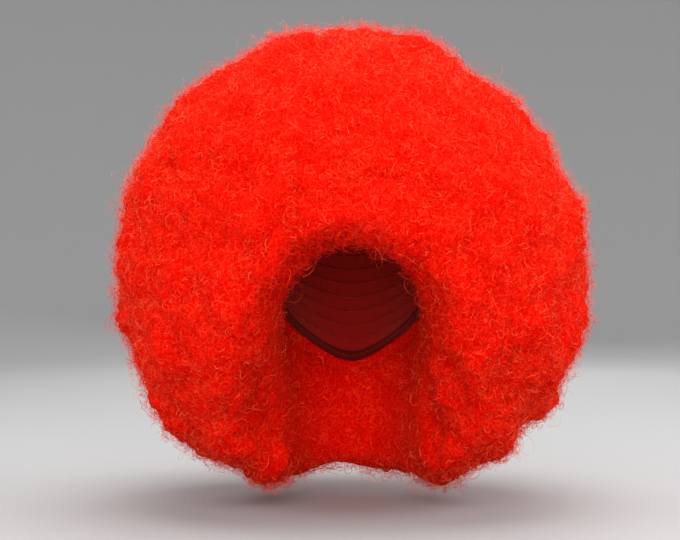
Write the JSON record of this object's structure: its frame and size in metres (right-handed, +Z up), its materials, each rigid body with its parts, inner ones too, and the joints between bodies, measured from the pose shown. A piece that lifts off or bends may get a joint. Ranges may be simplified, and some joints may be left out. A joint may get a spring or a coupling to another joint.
{
  "type": "afro wig",
  "caption": "Large round afro wig: a ball of tightly frizzed red-orange hair on a hollow net cap with an elastic edge band, open at the face and neck.",
  "frame": {"origin": "middle of the head hollow at the level of the brow, where the cap sits on a head", "axes": "+Z up through the crown, -Y out of the face opening, +X to the right of someone facing the opening"},
  "size_m": [0.473, 0.4242, 0.4597],
  "materials": {
    "cap_net": "matte net",
    "edge_elastic": "matte woven elastic",
    "hair_fibre": "frizzed synthetic fibre"
  },
  "bodies": {
    "root": {"cap": "cap_net", "edge_band": "edge_elastic", "hair": "hair_fibre"}
  },
  "joints": []
}
